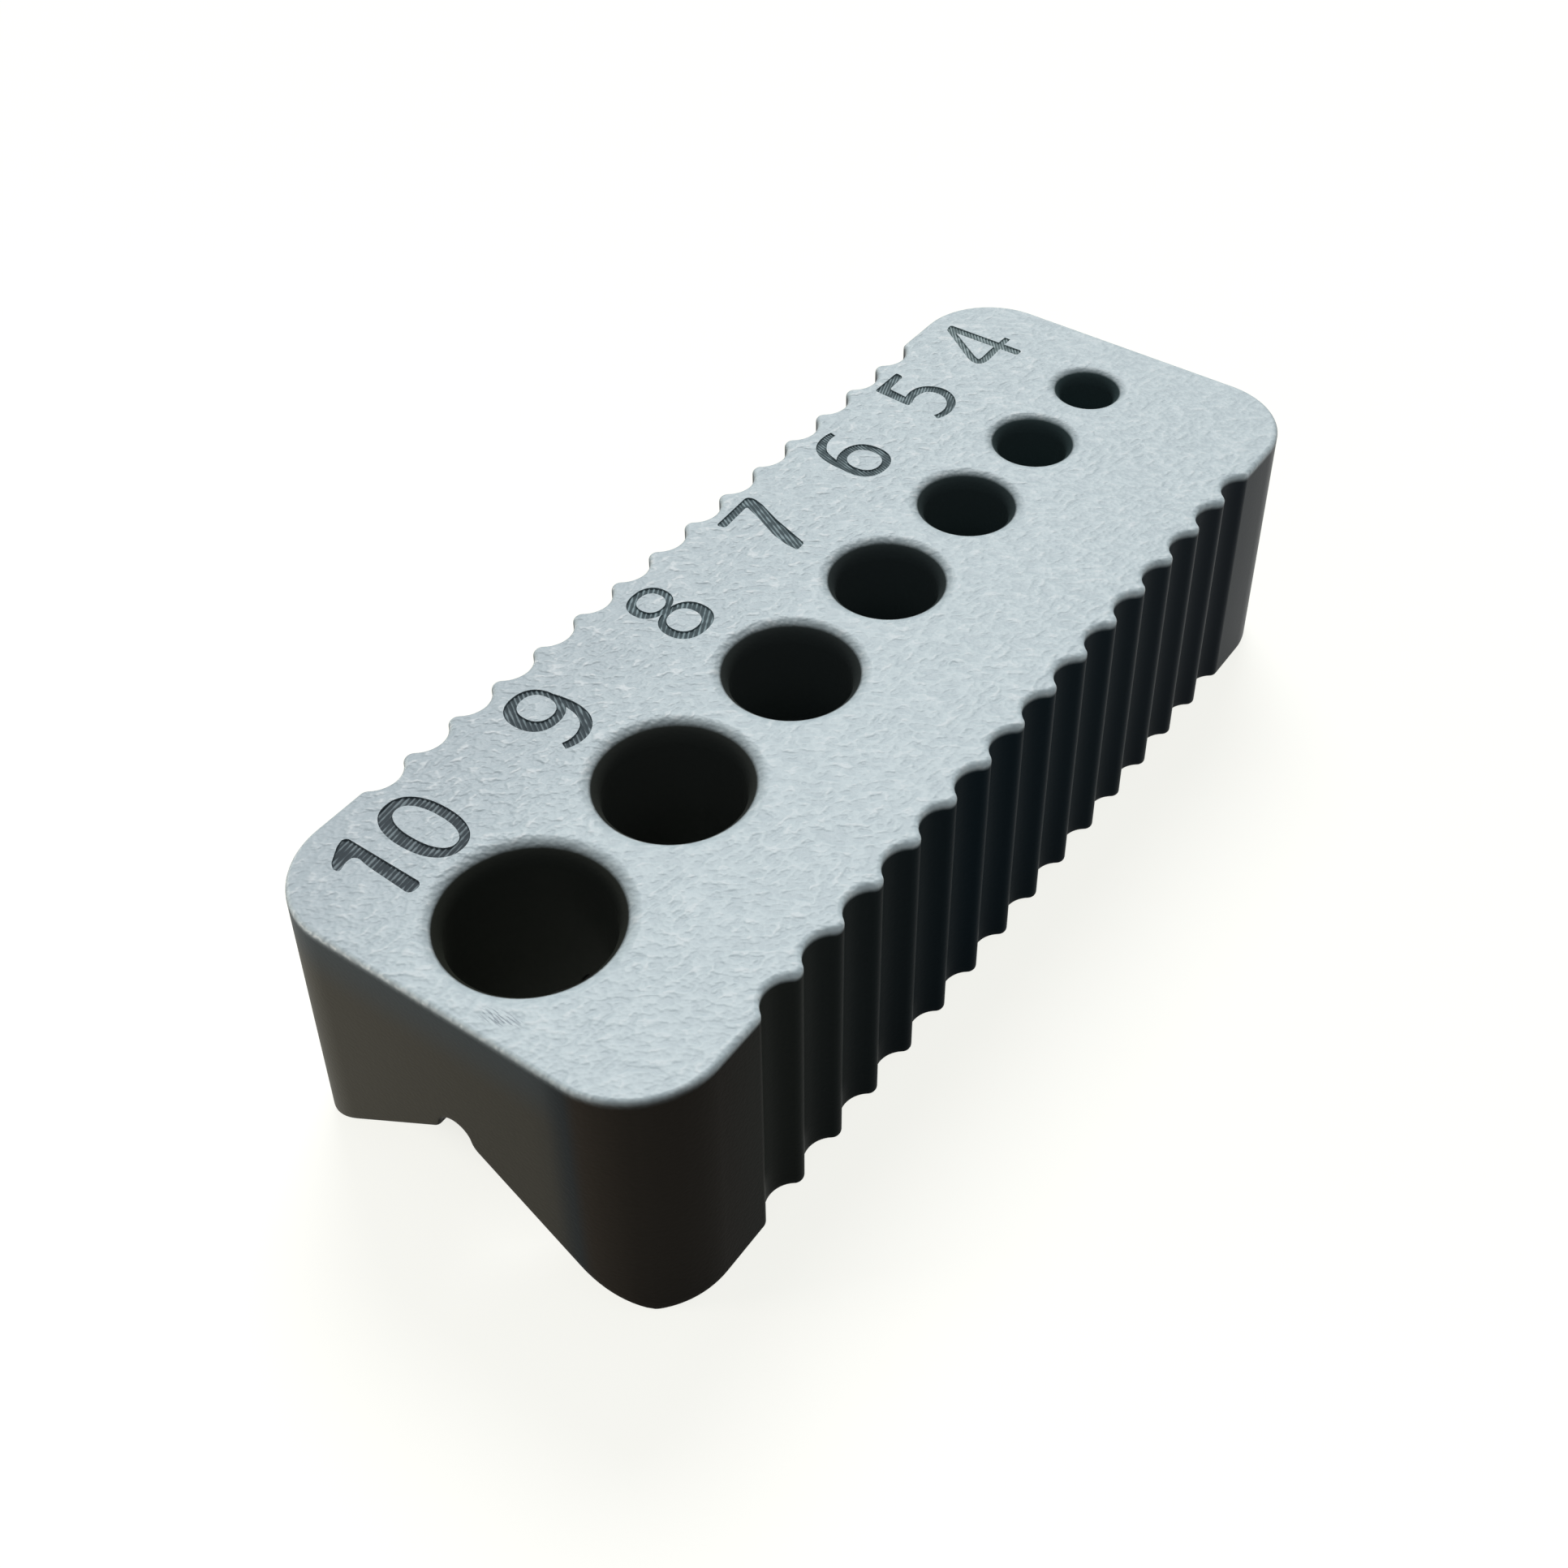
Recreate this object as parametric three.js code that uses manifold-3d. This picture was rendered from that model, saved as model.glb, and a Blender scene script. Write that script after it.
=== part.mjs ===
// Drill guide block: seven graded bores square to a light, numbered top, a V groove underneath that
// sits on round stock, and fluted long sides to grip. Millimetres, +Z up, X along the block.
// The origin is at the middle of the block, on the plane that its feet stand on.
import * as THREE from "three";
import { mergeVertices } from "three/addons/utils/BufferGeometryUtils.js";
import Module from "manifold-3d";

// Driving sizes of the block
const LENGTH = 80;
const WIDTH = 30; // across the tips of the grip ridges
const HEIGHT = 20;
const CORNER_RADIUS = 6; // upright corners, seen from above
const EDGE_BREAK = 0.3; // small chamfer round the top and the feet

// Grip flutes down both long sides
const FLUTE_PITCH = 4.05;
const FLUTE_DEPTH = 1.0;
const RIDGE_RADIUS = 0.65; // the round tip between two flutes
const LEAST_PLAIN_STRETCH = 3; // flat side left between the last flute and the corner

// Bores, the widest next to the -X end
const DRILL_SIZES = [10, 9, 8, 7, 6, 5, 4];
const DRILL_CLEARANCE = 0.1; // on the diameter
const MOUTH_CHAMFER = 0.6;
const END_WALL = 3; // metal between the widest drill and the -X end
const LEAST_FAR_WALL = 2; // metal that must be left past the last bore
const WEB = 3.85; // metal between two neighbouring drills

// V groove along the underside, with a round relief slot at its root
const FOOT_WIDTH = 2; // flat that is left on each side of the groove
const GROOVE_ANGLE = 110; // degrees between the two flanks
const RELIEF_WIDTH = 3;
const RELIEF_RISE = 0.55; // crown of the slot above the line where the flanks would meet

// How finely arcs are cut into flats, and how far cutters run past the block
const CORNER_STEPS = 10;
const FLUTE_STEPS = 8;
const RIDGE_STEPS = 5;
const RELIEF_STEPS = 10;
const BORE_STEPS_PER_MM = 4; // flats round a bore, per millimetre of its diameter
const LEAST_BORE_STEPS = 28;
const PAST = 1;

const top = new THREE.MeshStandardMaterial({ color: 0xc3ced6, roughness: 0.55, metalness: 0.35 });
const body = new THREE.MeshStandardMaterial({ color: 0x242321, roughness: 0.42, metalness: 0.6 });

const wasm = await Module();
wasm.setup();

function solid(geometry) {
  const bare = geometry.clone();
  bare.deleteAttribute("normal");
  bare.deleteAttribute("uv");
  const merged = mergeVertices(bare, 1e-4);
  return new wasm.Manifold(
    new wasm.Mesh({
      numProp: 3,
      vertProperties: merged.attributes.position.array,
      triVerts: new Uint32Array(merged.index.array),
    }),
  );
}

// Points on an arc, its first end included and its last one left to whatever follows.
function arc(cx, cy, radius, from, to, steps) {
  return Array.from({ length: steps }, (_, i) => {
    const angle = from + ((to - from) * i) / steps;
    return new THREE.Vector2(cx + radius * Math.cos(angle), cy + radius * Math.sin(angle));
  });
}

// The flutes and ridges of one long side are arcs that run into one another. A ridge arc touches the
// side, a flute arc reaches FLUTE_DEPTH below it, and the line between their centres has the length
// of both radii, which settles the flute's radius.
const radiusSum = ((FLUTE_PITCH / 2) ** 2 + FLUTE_DEPTH ** 2) / (2 * FLUTE_DEPTH);
const fluteRadius = radiusSum - RIDGE_RADIUS;
const swing = Math.asin(FLUTE_PITCH / 2 / radiusSum); // half the angle that each arc turns through
const straight = LENGTH - 2 * CORNER_RADIUS;
const fluteCount = Math.floor((straight - 2 * LEAST_PLAIN_STRETCH) / FLUTE_PITCH);

// The front long side from -X to +X, from the tip of its first ridge to the tip of its last.
function flutedSide() {
  const ridgeY = -WIDTH / 2 + RIDGE_RADIUS;
  const fluteY = -WIDTH / 2 + FLUTE_DEPTH - fluteRadius;
  const down = -Math.PI / 2;
  const up = Math.PI / 2;
  const points = [];
  for (let i = 0; i < fluteCount; i++) {
    const middle = (i - (fluteCount - 1) / 2) * FLUTE_PITCH;
    const left = middle - FLUTE_PITCH / 2;
    const right = middle + FLUTE_PITCH / 2;
    points.push(...arc(left, ridgeY, RIDGE_RADIUS, down, down + swing, RIDGE_STEPS));
    points.push(...arc(middle, fluteY, fluteRadius, up + swing, up - swing, FLUTE_STEPS));
    points.push(...arc(right, ridgeY, RIDGE_RADIUS, down - swing, down, RIDGE_STEPS));
  }
  points.push(new THREE.Vector2((fluteCount * FLUTE_PITCH) / 2, -WIDTH / 2));
  return points;
}

// Half the outline: the front side and the corner at its +X end. Turned half round, it is the rest.
function outline() {
  const cx = LENGTH / 2 - CORNER_RADIUS;
  const cy = -WIDTH / 2 + CORNER_RADIUS;
  const half = [
    ...arc(-cx, cy, CORNER_RADIUS, -Math.PI, -Math.PI / 2, CORNER_STEPS),
    new THREE.Vector2(-cx, -WIDTH / 2),
    ...flutedSide(),
    ...arc(cx, cy, CORNER_RADIUS, -Math.PI / 2, 0, CORNER_STEPS),
    new THREE.Vector2(LENGTH / 2, cy),
  ];
  const turned = half.map((p) => p.clone().negate());
  return new THREE.Shape([...half, ...turned]);
}

function blank() {
  const geometry = new THREE.ExtrudeGeometry(outline(), {
    depth: HEIGHT - 2 * EDGE_BREAK,
    bevelEnabled: true,
    bevelThickness: EDGE_BREAK,
    bevelSize: EDGE_BREAK,
    bevelOffset: -EDGE_BREAK,
    bevelSegments: 1,
  });
  return solid(geometry.translate(0, 0, EDGE_BREAK));
}

// A profile in the plane across the block, carried along its whole length.
function lengthwise(shape) {
  const run = LENGTH + 2 * PAST;
  const geometry = new THREE.ExtrudeGeometry(shape, { depth: run, bevelEnabled: false });
  geometry.translate(0, 0, -run / 2);
  // shape x goes to Y, shape y to Z, and the extrusion to X
  geometry.applyMatrix4(new THREE.Matrix4().set(0, 0, 1, 0, 1, 0, 0, 0, 0, 1, 0, 0, 0, 0, 0, 1));
  return solid(geometry);
}

const rise = 1 / Math.tan(THREE.MathUtils.degToRad(GROOVE_ANGLE / 2)); // flank height per width
const apex = (WIDTH / 2 - FOOT_WIDTH) * rise;

function vGroove() {
  const half = (apex + PAST) / rise;
  const corners = [[-half, -PAST], [half, -PAST], [0, apex]];
  return lengthwise(new THREE.Shape(corners.map(([y, z]) => new THREE.Vector2(y, z))));
}

function reliefSlot() {
  const radius = RELIEF_WIDTH / 2;
  const centre = apex + RELIEF_RISE - radius;
  return lengthwise(
    new THREE.Shape([
      new THREE.Vector2(-radius, -PAST),
      new THREE.Vector2(radius, -PAST),
      ...arc(0, centre, radius, 0, Math.PI, RELIEF_STEPS),
      new THREE.Vector2(-radius, centre),
    ]),
  );
}

// Where each bore stands, from the widest at the -X end for as long as the next one fits.
function boreRow() {
  const row = [];
  let edge = -LENGTH / 2 + END_WALL;
  for (const size of DRILL_SIZES) {
    if (edge + size > LENGTH / 2 - LEAST_FAR_WALL) break;
    row.push({ size, x: edge + size / 2 });
    edge += size + WEB;
  }
  return row;
}

function bore({ size, x }) {
  const radius = (size + DRILL_CLEARANCE) / 2;
  const mouth = radius + MOUTH_CHAMFER;
  const steps = Math.max(LEAST_BORE_STEPS, Math.round(size * BORE_STEPS_PER_MM));
  const profile = [
    [0, -PAST],
    [radius, -PAST],
    [radius, HEIGHT - MOUTH_CHAMFER],
    [mouth, HEIGHT],
    [mouth + PAST, HEIGHT + PAST],
    [0, HEIGHT + PAST],
  ].map(([r, z]) => new THREE.Vector2(r, z));
  const geometry = new THREE.LatheGeometry(profile, steps);
  geometry.rotateX(Math.PI / 2); // the lathe turns about Y, the bore stands along Z
  return solid(geometry.translate(x, 0, 0));
}

// The finished solid as a mesh, the facets of its top face first so that they take the light finish.
function twoTone(block) {
  const { vertProperties, triVerts } = block.getMesh();
  const corners = Array.from({ length: triVerts.length / 3 }, (_, i) => triVerts.subarray(3 * i, 3 * i + 3));
  const onTop = (tri) => tri.every((v) => vertProperties[3 * v + 2] > HEIGHT - EDGE_BREAK / 2);
  const light = corners.filter(onTop);
  const dark = corners.filter((tri) => !onTop(tri));
  const index = [...light, ...dark].flatMap((tri) => [...tri]);
  const geometry = new THREE.BufferGeometry();
  geometry.setAttribute("position", new THREE.BufferAttribute(vertProperties, 3));
  geometry.setIndex(index);
  geometry.addGroup(0, 3 * light.length, 0);
  geometry.addGroup(3 * light.length, 3 * dark.length, 1);
  geometry.computeVertexNormals();
  const mesh = new THREE.Mesh(geometry, [top, body]);
  mesh.name = "guide_block";
  return mesh;
}

let block = blank().subtract(vGroove()).subtract(reliefSlot());
for (const place of boreRow()) block = block.subtract(bore(place));

const part = new THREE.Group();
part.add(twoTone(block));
export default part;
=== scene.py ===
# %% [markdown]
# A drill guide block: one solid piece of dark metal, 80 mm long, with seven bores that keep a hand
# drill upright. Its top is pale and finely grained, its sides are satin black and fluted for grip,
# and a groove along the underside seats it on a corner or on a round bar.
#
# The real block is milled from one bar, so here it is one closed surface too. Each stretch of that
# surface is worked out with numpy from a few sizes, and all the stretches share their border points.

# %% Load the frame
import math

import bpy
import numpy as np
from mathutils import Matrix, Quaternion, Vector
from mathutils.geometry import delaunay_2d_cdt


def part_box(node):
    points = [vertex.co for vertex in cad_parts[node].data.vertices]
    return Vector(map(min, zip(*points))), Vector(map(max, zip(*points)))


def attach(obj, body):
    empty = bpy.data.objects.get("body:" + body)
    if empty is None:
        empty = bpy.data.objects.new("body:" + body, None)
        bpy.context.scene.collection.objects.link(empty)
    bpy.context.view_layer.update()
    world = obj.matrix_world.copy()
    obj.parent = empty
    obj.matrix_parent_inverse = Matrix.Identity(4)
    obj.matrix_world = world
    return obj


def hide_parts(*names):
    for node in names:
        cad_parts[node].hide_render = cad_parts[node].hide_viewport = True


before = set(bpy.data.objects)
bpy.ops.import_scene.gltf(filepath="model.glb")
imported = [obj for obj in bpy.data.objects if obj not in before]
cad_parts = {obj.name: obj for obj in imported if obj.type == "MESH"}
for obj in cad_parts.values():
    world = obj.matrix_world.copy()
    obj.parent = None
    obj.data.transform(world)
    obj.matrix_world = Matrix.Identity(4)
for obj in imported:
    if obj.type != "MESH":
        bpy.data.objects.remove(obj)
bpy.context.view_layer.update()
MM = 0.001  # every shape below is in millimetres, and becomes metres when it goes into a mesh
block_low, block_high = (np.array(corner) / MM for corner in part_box("guide_block"))
LENGTH, WIDTH, TOP = block_high - block_low
print("the block measures", (block_high - block_low).round(2), "mm")

# %% [markdown]
# The camera comes first, because every later choice is judged through it. A camera is placed here
# as a photographer would say it: where it stands, the way it looks, and a slight lean. The lens is
# given in pixels of the square picture, which is how a lens is measured from a photograph. The shift
# slides the picture across and down behind the lens, as if it had been cut out of a larger one.
# Turning the camera would move the block in the picture too, but it would change its perspective.

# %% Place the camera
PICTURE_PIXELS = 1932
SENSOR = 36.0
LENS_PIXELS = 2561.2
SHIFT_PIXELS = (-64.0, -266.0)
CAMERA_PLACE = (-87.73, -58.78, 110.56)
CAMERA_AZIMUTH, CAMERA_RISE, CAMERA_LEAN = (math.radians(a) for a in (-55.815, 39.26, 0.508))
NEAREST_SEEN = 5.0

camera = bpy.data.objects.new("camera", bpy.data.cameras.new("camera"))
bpy.context.scene.collection.objects.link(camera)
bpy.context.scene.camera = camera
camera.data.sensor_width = SENSOR
camera.data.lens = LENS_PIXELS * SENSOR / PICTURE_PIXELS
camera.data.shift_x, camera.data.shift_y = (pixels / PICTURE_PIXELS for pixels in SHIFT_PIXELS)
camera.data.clip_start = NEAREST_SEEN * MM
towards_camera = Vector((
    math.sin(CAMERA_AZIMUTH) * math.cos(CAMERA_RISE),
    -math.cos(CAMERA_AZIMUTH) * math.cos(CAMERA_RISE),
    math.sin(CAMERA_RISE),
))
camera.location = Vector(CAMERA_PLACE) * MM
camera.rotation_mode = "QUATERNION"
camera.rotation_quaternion = towards_camera.to_track_quat("Z", "Y") @ Quaternion((0, 0, 1), CAMERA_LEAN)
print("lens", round(camera.data.lens, 2), "mm")
print("shift", round(camera.data.shift_x, 4), round(camera.data.shift_y, 4), "of the picture's width")

# %% [markdown]
# The groove under the block is the same from end to end, so the underside is a height over the plan
# that depends only on the distance from the middle line. Going inwards it has a flat foot, a softened
# corner, a straight flank, a rounded lip and, along the root, a slot with a round crown, which keeps
# the root clear of the edge that the flanks sit on.

# %% The sizes of the groove
FOOT_WIDTH = 2.0
FLANK_ANGLE = math.radians(35)
FOOT_ROUND = 0.8
SLOT_RADIUS = 1.3
SLOT_RISE = 0.55
LIP_ROUND = 1.2
GROOVE_HALF = WIDTH / 2 - FOOT_WIDTH
GROOVE_ROOT = GROOVE_HALF * math.tan(FLANK_ANGLE)
SLOT_CENTRE = GROOVE_ROOT + SLOT_RISE - SLOT_RADIUS
FOOT_EDGE = GROOVE_HALF + FOOT_ROUND * math.tan(FLANK_ANGLE / 2)
print("groove root at", round(GROOVE_ROOT, 2), "mm, slot crown at", round(SLOT_CENTRE + SLOT_RADIUS, 2))

# %% [markdown]
# The lip has to touch two things at once: the straight flank and the round slot. A circle that
# touches a line lies its own radius away from it, and one that touches another circle from outside
# lies the sum of both radii from its centre. Those two conditions are one quadratic equation, so
# its root gives the lip's centre exactly, and nothing has to be found by trying.

# %% The centre of the lip
slope = math.tan(FLANK_ANGLE)
reach = SLOT_RADIUS + LIP_ROUND
above = GROOVE_ROOT + LIP_ROUND / math.cos(FLANK_ANGLE) - SLOT_CENTRE
LIP_Y = (above * slope + math.sqrt(reach**2 * (1 + slope**2) - above**2)) / (1 + slope**2)
LIP_Z = SLOT_CENTRE + above - slope * LIP_Y
print("lip centred", round(LIP_Y, 2), "mm from the middle and", round(LIP_Z, 2), "mm up")

# %% [markdown]
# With the centres known, the height is written down piece by piece and each piece takes over where
# it touches the one before. The mesh will need an edge along every line where the height bends, so
# those lines are collected here too, a few round each arc.

# %% The section of the underside
FOOT_STEPS, LIP_STEPS, CROWN_STEPS = 5, 7, 9


def underside(y):
    """Height of the underside at y. From the foot's edge an arc of FOOT_ROUND lifts it until it has
    the flank's slope, and the flank rises straight. The lip is an arc about (LIP_Y, LIP_Z), which
    touches both the flank and the crown's circle, and the crown is an arc about the slot's centre."""
    away = np.abs(y)
    inwards = np.clip(FOOT_EDGE - away, 0, None)
    foot = FOOT_ROUND - np.sqrt(np.clip(FOOT_ROUND**2 - inwards**2, 0, None))
    flank = (GROOVE_HALF - away) * slope
    lip = LIP_Z - np.sqrt(np.clip(LIP_ROUND**2 - (LIP_Y - away) ** 2, 0, None))
    crown = SLOT_CENTRE + np.sqrt(np.clip(SLOT_RADIUS**2 - away**2, 0, None))
    height = np.where(inwards < FOOT_ROUND * math.sin(FLANK_ANGLE), foot, flank)
    height = np.where(away < LIP_Y - LIP_ROUND * math.sin(FLANK_ANGLE), lip, height)
    return np.where(away < LIP_Y * SLOT_RADIUS / reach, crown, height)


foot_lines = FOOT_EDGE - FOOT_ROUND * np.sin(np.linspace(0, FLANK_ANGLE, FOOT_STEPS))
steepest = math.asin(LIP_Y / reach)
lip_lines = LIP_Y - LIP_ROUND * np.sin(np.linspace(FLANK_ANGLE, steepest, LIP_STEPS))
crown_lines = SLOT_RADIUS * np.sin(np.linspace(steepest, 0, CROWN_STEPS))
slot_lines = np.concatenate([lip_lines[:-1], crown_lines])
crease_lines = np.concatenate([foot_lines, slot_lines[:-1], [0], -slot_lines[:-1], -foot_lines])
print(len(crease_lines), "crease lines; the crown is", underside(np.array([0.0])).round(2), "mm up")

# %% [markdown]
# Seen from above, the block is a rounded rectangle whose long sides are fluted: hollow arcs that meet
# small convex ridges, each arc starting where the last one ends and in the same direction. A ridge
# touches the side and a flute touches its full depth, so the line between their centres is as long
# as both radii together, and that settles the flute's radius and the angle each arc swings through.

# %% The sizes of the flutes
CORNER_RADIUS = 6.0
FLUTE_PITCH = 4.05
FLUTE_DEPTH = 1.0
RIDGE_RADIUS = 0.65
FLUTES = 15
arc_sum = ((FLUTE_PITCH / 2) ** 2 + FLUTE_DEPTH**2) / (2 * FLUTE_DEPTH)
FLUTE_RADIUS = arc_sum - RIDGE_RADIUS
SWING = math.degrees(math.asin(FLUTE_PITCH / 2 / arc_sum))
print("flutes of radius", round(FLUTE_RADIUS, 2), "mm, swinging", round(SWING, 1), "degrees to each side")

# %% [markdown]
# The outline is put together from arcs and one straight end. A plain polygon could be bevelled
# afterwards, but a bevel goes astray in hollow corners this small. Here each point keeps its outward
# direction beside it, so the same outline can be drawn in by any amount, and that makes the rounded
# edges later. The vertices of a corner stand at even steps, except where a crease crosses.

# %% Arcs and corners
EDGE_ROUND = 0.35
CORNER_STEPS, END_STEPS, RIDGE_STEPS, FLUTE_STEPS = 25, 13, 13, 17
CORNER_GAP = 1.2  # degrees that an even step keeps from a crease


def arc(centre, radius, angles, side=1):
    """Points centre + radius (cos, sin) at these angles in degrees, and their outward directions:
    away from the centre of a convex arc, side 1, and towards that of a hollow one, side -1."""
    turn = np.radians(angles)
    direction = np.column_stack([np.cos(turn), np.sin(turn)])
    return np.hstack([np.array(centre) + radius * direction, side * direction])


def corner_angles():
    """Angles, from the block's end to its side, at which a corner arc has a vertex: even steps, and
    the places where the drawn-in arc crosses the creases of the underside."""
    across = (foot_lines - (WIDTH / 2 - CORNER_RADIUS)) / (CORNER_RADIUS - EDGE_ROUND)
    creases = np.degrees(np.arcsin(across))
    even = np.linspace(0, 90, CORNER_STEPS)
    clear = np.abs(even[:, None] - creases).min(axis=1) > CORNER_GAP
    return np.sort(np.concatenate([even[clear], creases]))


print("a corner has vertices at", corner_angles().round(1), "degrees")

# %% [markdown]
# Half of the outline is enough, because the block looks the same when it is turned half a turn. It
# runs down the straight end, round a corner, along the flutes and round the next corner. The first
# and the last ridge are halves that run out into the plain stretch of side beside them.

# %% The outline from above
def fluted_front():
    """The ridges and flutes of the front, from -X to +X, as one array of points and directions."""
    ridge_y = -WIDTH / 2 + RIDGE_RADIUS
    flute_y = -WIDTH / 2 + FLUTE_DEPTH - FLUTE_RADIUS
    turn = np.linspace(-SWING, SWING, RIDGE_STEPS)[1:-1]
    hollow = 90 - np.linspace(-SWING, SWING, FLUTE_STEPS)
    arcs = []
    for k in range(FLUTES + 1):
        ridge_x = (k - FLUTES / 2) * FLUTE_PITCH
        kept = turn[turn >= 0] if k == 0 else turn[turn <= 0] if k == FLUTES else turn
        arcs.append(arc((ridge_x, ridge_y), RIDGE_RADIUS, 270 + kept))
        if k < FLUTES:
            arcs.append(arc((ridge_x + FLUTE_PITCH / 2, flute_y), FLUTE_RADIUS, hollow, -1))
    return np.vstack(arcs)


def half_outline():
    """The end that faces -X, a corner, the fluted front and the next corner, in order."""
    straight = WIDTH / 2 - CORNER_RADIUS
    middle = LENGTH / 2 - CORNER_RADIUS
    creases = crease_lines[np.abs(crease_lines) < straight]
    even = np.linspace(-straight, straight, END_STEPS)[1:-1]
    heights = np.unique(np.round(np.concatenate([creases, even]), 9))
    end = np.column_stack([np.full(len(heights), -LENGTH / 2), -heights])
    end = np.hstack([end, np.tile([-1.0, 0.0], (len(end), 1))])
    first = arc((-middle, -straight), CORNER_RADIUS, 180 + corner_angles())
    last = arc((middle, -straight), CORNER_RADIUS, 360 - corner_angles()[::-1])
    return np.vstack([end, first, fluted_front(), last])


def outline(inset=0.0):
    """The whole outline drawn in by inset: each point less inset times its outward direction. The far
    half is the near half turned half a turn."""
    half = half_outline()
    whole = np.vstack([half, -half])
    return whole[:, :2] - inset * whole[:, 2:]


print("outline of", len(outline()), "points")

# %% [markdown]
# Seven bores stand in a row along the middle, each for one drill. The webs between neighbours are all
# equal, so every centre follows from the drill sizes and from the wall that is left at the wide end.

# %% Where the bores stand
DRILL_SIZES = np.array([10, 9, 8, 7, 6, 5, 4])
DRILL_CLEARANCE = 0.1
END_WALL = 3.0
WEB = 3.85
steps_between = (DRILL_SIZES[:-1] + DRILL_SIZES[1:]) / 2 + WEB
first_centre = -LENGTH / 2 + END_WALL + DRILL_SIZES[0] / 2
bore_centres = first_centre + np.concatenate([[0], np.cumsum(steps_between)])
bore_radii = (DRILL_SIZES + DRILL_CLEARANCE) / 2
print("bores at", bore_centres.round(2), "with radii", bore_radii)

# %% [markdown]
# A bore is a ring carried down: over a rounded mouth, along the wall, and over a small broken edge
# where it comes out on the slanted underside. Cutting cylinders out with a Boolean modifier would be
# less work, but it leaves ragged faces round every mouth. The mouths of the real block are soft, the
# wide ones a little softer, and their rings lie closest where the pale finish will end. A ring has a
# vertex wherever it crosses a crease of the underside, so nothing is cut crooked there.

# %% The rings of a bore
MOUTH_TURNS = np.array([0, 4, 8, 15, 22, 30, 36, 40, 44, 52, 62, 76, 90])  # degrees over the mouth
MOUTH_LEAST = 0.85
MOUTH_GROWTH = 0.13
LOWER_BREAK = 0.2
LOWER_STEPS = 4
RING_STEPS = 96
RING_GAP = 1.5  # degrees that an even step keeps from a crease


def mouth_round(radius):
    """Radius of a mouth's rounding in millimetres, which grows a little with the bore's own radius."""
    return MOUTH_LEAST + MOUTH_GROWTH * radius


def bore_angles(radius):
    """Even steps round the ring, and the angles at which the widest lower ring meets a crease."""
    across = crease_lines[np.abs(crease_lines) < radius + LOWER_BREAK] / (radius + LOWER_BREAK)
    creases = np.degrees(np.arcsin(across))
    creases = np.concatenate([creases, 180 - creases]) % 360
    even = np.linspace(0, 360, RING_STEPS, endpoint=False)
    gaps = np.abs((even[:, None] - creases + 180) % 360 - 180).min(axis=1)
    return np.radians(np.unique(np.round(np.concatenate([even[gaps > RING_GAP], creases]), 9)))


def bore_rings(centre, radius):
    """Rings from the top down, as an array of rings by points by xyz. The mouth and the lower edge are
    quarter circles, and the ends of the wall follow the top and the underside."""
    turn = bore_angles(radius)
    over = np.radians(MOUTH_TURNS)
    widths = radius + mouth_round(radius) * (1 - np.sin(over))
    depths = TOP - mouth_round(radius) * (1 - np.cos(over))
    rings = [np.column_stack([w * np.cos(turn), w * np.sin(turn), np.full(len(turn), z)])
             for w, z in zip(widths, depths)]
    for out in np.linspace(0, math.pi / 2, LOWER_STEPS):
        w = radius + LOWER_BREAK * (1 - math.cos(out))
        z = underside(w * np.sin(turn)) + LOWER_BREAK * (1 - math.sin(out))
        rings.append(np.column_stack([w * np.cos(turn), w * np.sin(turn), z]))
    return np.array(rings) + (centre, 0, 0)


print("mouths rounded by", mouth_round(bore_radii).round(2), "mm")

# %% [markdown]
# Each bore's drill size is engraved beside it. A text object could write the figures, but no common
# lettering has the weight and the blunt ends of this engraving, so they are drawn from strokes: plates
# with blunted corners, ovals with an oval hole, and bands of changing width that follow a curve. A
# stroke is a list of closed loops that have the metal on their left, so a hole runs the other way.

# %% Plates and ovals
FULLNESS = 0.88


def plate(*corners, cut=0.14):
    """One straight-sided loop with its inside on the left, blunted twice: each side keeps its middle
    and gives up cut at both ends, then a third of that, but never more than a third of its length."""
    loop = np.array(corners, float)
    ahead = np.roll(loop, -1, axis=0)
    area = (loop[:, 0] * ahead[:, 1] - ahead[:, 0] * loop[:, 1]).sum()
    loop = loop if area > 0 else loop[::-1]
    for given_up in (cut, cut / 3):
        side = np.roll(loop, -1, axis=0) - loop
        share = np.minimum(given_up / np.linalg.norm(side, axis=1, keepdims=True), 1 / 3)
        loop = np.hstack([loop + share * side, loop + (1 - share) * side]).reshape(-1, 2)
    return [loop]


def oval(centre, radii, steps=60):
    """centre + radii times (cos, sin) of even angles, with the sides a little fuller than an ellipse's:
    each of the two is raised to the power FULLNESS and keeps its sign."""
    turn = np.linspace(0, 2 * math.pi, steps, endpoint=False)
    wave = np.column_stack([np.cos(turn), np.sin(turn)])
    return np.array(centre) + np.array(radii) * np.sign(wave) * np.abs(wave) ** FULLNESS


def ring(centre, radii, hole_centre, hole_radii):
    """An oval with an oval hole, whose loop runs the other way so that the metal is on its left."""
    return [oval(centre, radii), oval(hole_centre, hole_radii)[::-1]]


print("a square plate has", len(plate((0, 0), (1, 0), (1, 1), (0, 1))[0]), "points after blunting")

# %% [markdown]
# A band needs a path and its width along the way. The path is a chain of cubic curves, such as a
# drawing program's pen makes: it passes through every third point, and the two points between pull
# it to their side. The loop then runs up the right edge of the band and down the left one.

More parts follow.
